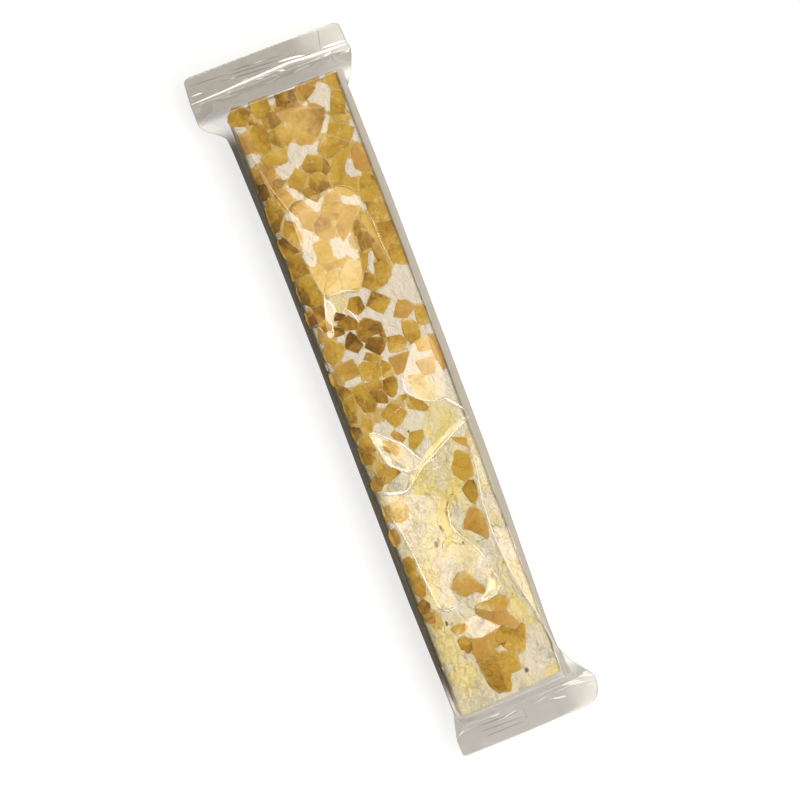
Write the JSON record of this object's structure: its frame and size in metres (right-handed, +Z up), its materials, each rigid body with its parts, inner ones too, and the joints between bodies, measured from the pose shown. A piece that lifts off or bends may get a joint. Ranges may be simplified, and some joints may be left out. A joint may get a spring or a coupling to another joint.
{
  "type": "nougat bar",
  "caption": "Long flat stick of soft nougat set with candied lemon peel, sealed in a clear flow-wrap film with a crimped fin at each end.",
  "frame": {"origin": "middle of the box round the pack, on the surface it lies on", "axes": "+X along the stick, +Y across it, +Z up out of the broad face shown in the picture"},
  "size_m": [0.223, 0.0512, 0.0153],
  "materials": {
    "film_wrap": "clear glossy film, seen with the stick inside it",
    "nougat": "soft aerated sugar and egg white, off-white, finely porous",
    "candied_peel": "cut candied lemon peel, amber, slightly see-through"
  },
  "bodies": {
    "root": {"film_wrapped_bar": "film_wrap"}
  },
  "joints": []
}
